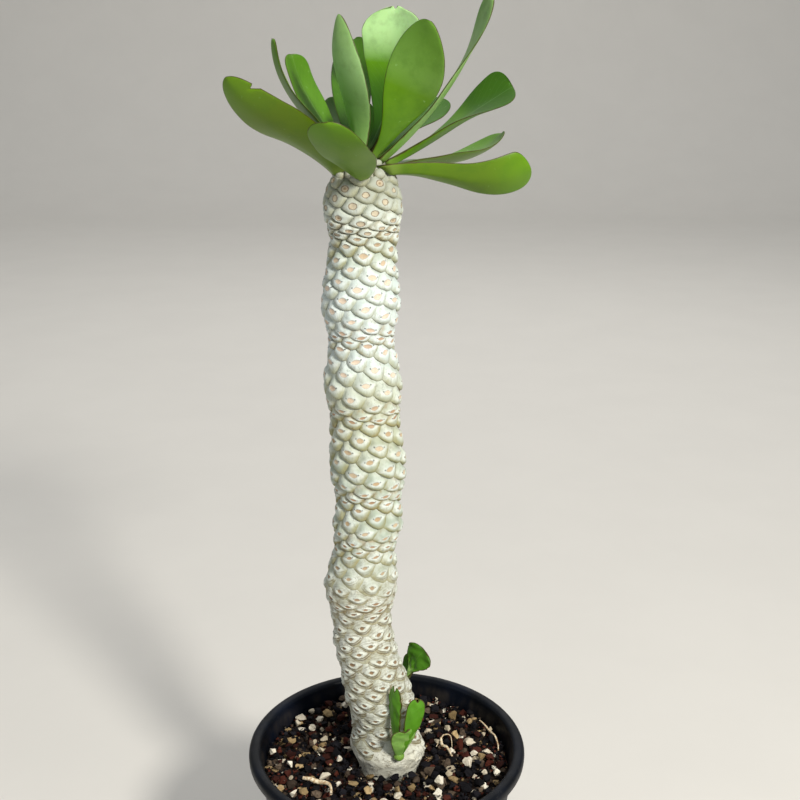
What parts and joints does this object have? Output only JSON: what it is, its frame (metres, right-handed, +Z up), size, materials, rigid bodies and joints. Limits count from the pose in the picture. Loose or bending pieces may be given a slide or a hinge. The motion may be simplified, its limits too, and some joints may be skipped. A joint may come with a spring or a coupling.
{
  "type": "potted euphorbia poissonii",
  "caption": "Succulent with a thick scaly upright stem and a crown of fleshy spoon-shaped leaves, with small shoots at its foot, in gritty soil in a round black nursery pot.",
  "frame": {"origin": "centre of the pot's underside, on its central boss", "axes": "+Z up along the pot's axis; -Y is the side the picture shows"},
  "size_m": [0.15, 0.15, 0.5166],
  "materials": {
    "pot": "satin black moulded plastic with a faint blue cast, slightly dusty",
    "soil": "loose matt grit: black, red-brown and grey grains with pale pumice",
    "stem": "matt whitish grey-green skin with tan leaf scars",
    "leaf": "smooth fleshy green leaf, soft waxy sheen, thin red-brown margin",
    "young_leaf": "smooth pale green young leaf, soft waxy sheen",
    "dry": "dull dry straw and root"
  },
  "bodies": {
    "root": {"pot": "pot", "soil": "soil", "stem": "stem", "leaf_01": "leaf", "leaf_02": "leaf", "leaf_03": "leaf", "leaf_04": "leaf", "leaf_05": "leaf", "leaf_06": "leaf", "leaf_07": "leaf", "leaf_08": "leaf", "leaf_09": "leaf", "leaf_10": "leaf", "leaf_11": "leaf", "leaf_12": "leaf", "leaf_13": "leaf", "leaf_14": "leaf", "growing_tip": "young_leaf", "offset_front": "young_leaf", "offset_back": "young_leaf", "dry_root_left": "dry", "dry_root_right": "dry", "dry_straw": "dry"}
  },
  "joints": []
}
